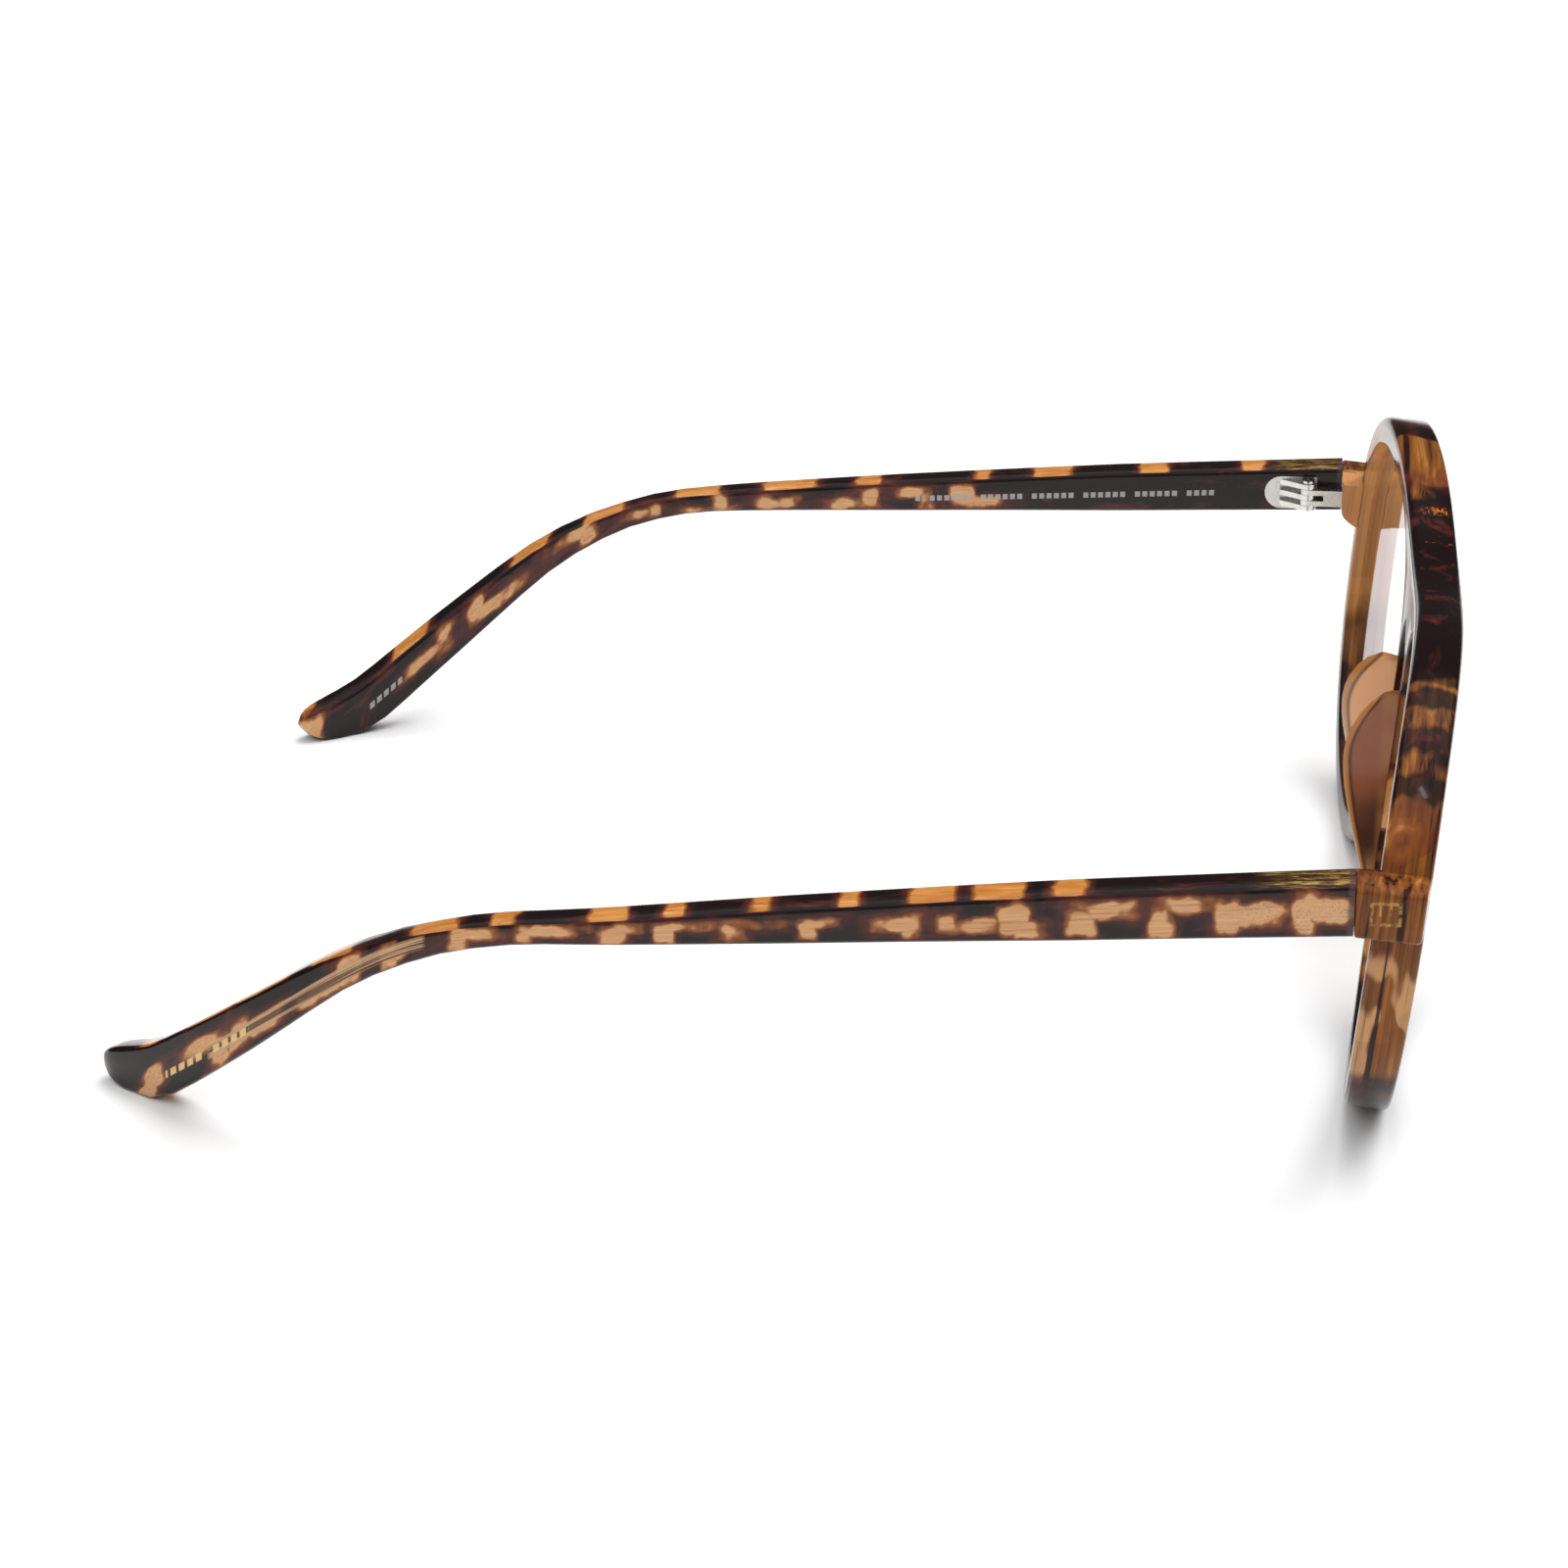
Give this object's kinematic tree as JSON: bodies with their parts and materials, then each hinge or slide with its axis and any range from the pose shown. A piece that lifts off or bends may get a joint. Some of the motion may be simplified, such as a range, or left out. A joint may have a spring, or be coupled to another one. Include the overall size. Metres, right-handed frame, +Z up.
{
  "type": "reading glasses",
  "caption": "Rectangular acetate reading glasses with clear lenses, bonded nose pads, barrel hinges and wire-cored temples that fold inward.",
  "frame": {"origin": "middle of the open glasses' box in plan, on the ground plane they rest on", "axes": "+X towards the wearer's left, the symmetry plane being X = 0; +Y backwards along the temples; +Z up"},
  "size_m": [0.1464, 0.1542, 0.0531],
  "materials": {
    "acetate_front": "polished brown amber tortoise acetate",
    "acetate_temple": "polished dark tortoise acetate with peach and orange patches",
    "acetate_pad": "polished tan acetate",
    "lens": "clear, faint lavender anti-reflection coating",
    "hinge_metal": "bright plated",
    "screw_metal": "bright, slotted head",
    "core_metal": "drawn flat wire"
  },
  "bodies": {
    "front": {"front_frame": "acetate_front", "lens_right": "lens", "lens_left": "lens", "nose_pad_right": "acetate_pad", "nose_pad_left": "acetate_pad", "front_hinge_leaf_right": "hinge_metal", "front_hinge_leaf_left": "hinge_metal"},
    "temple_arm_right": {"temple_right": "acetate_temple", "core_wire_right": "core_metal", "temple_hinge_leaf_right": "hinge_metal", "hinge_screw_right": "screw_metal"},
    "temple_arm_left": {"temple_left": "acetate_temple", "core_wire_left": "core_metal", "temple_hinge_leaf_left": "hinge_metal", "hinge_screw_left": "screw_metal"}
  },
  "joints": [
    {"name": "left_temple_fold", "type": "hinge", "parent": "front", "child": "temple_arm_left", "pos_m": [0.06515, -0.05999, 0.03585], "axis": [0, 0, 1], "range_deg": [0, 87]},
    {"name": "right_temple_fold", "type": "hinge", "parent": "front", "child": "temple_arm_right", "pos_m": [-0.06515, -0.05999, 0.03585], "axis": [0, 0, -1], "range_deg": [0, 77]}
  ]
}
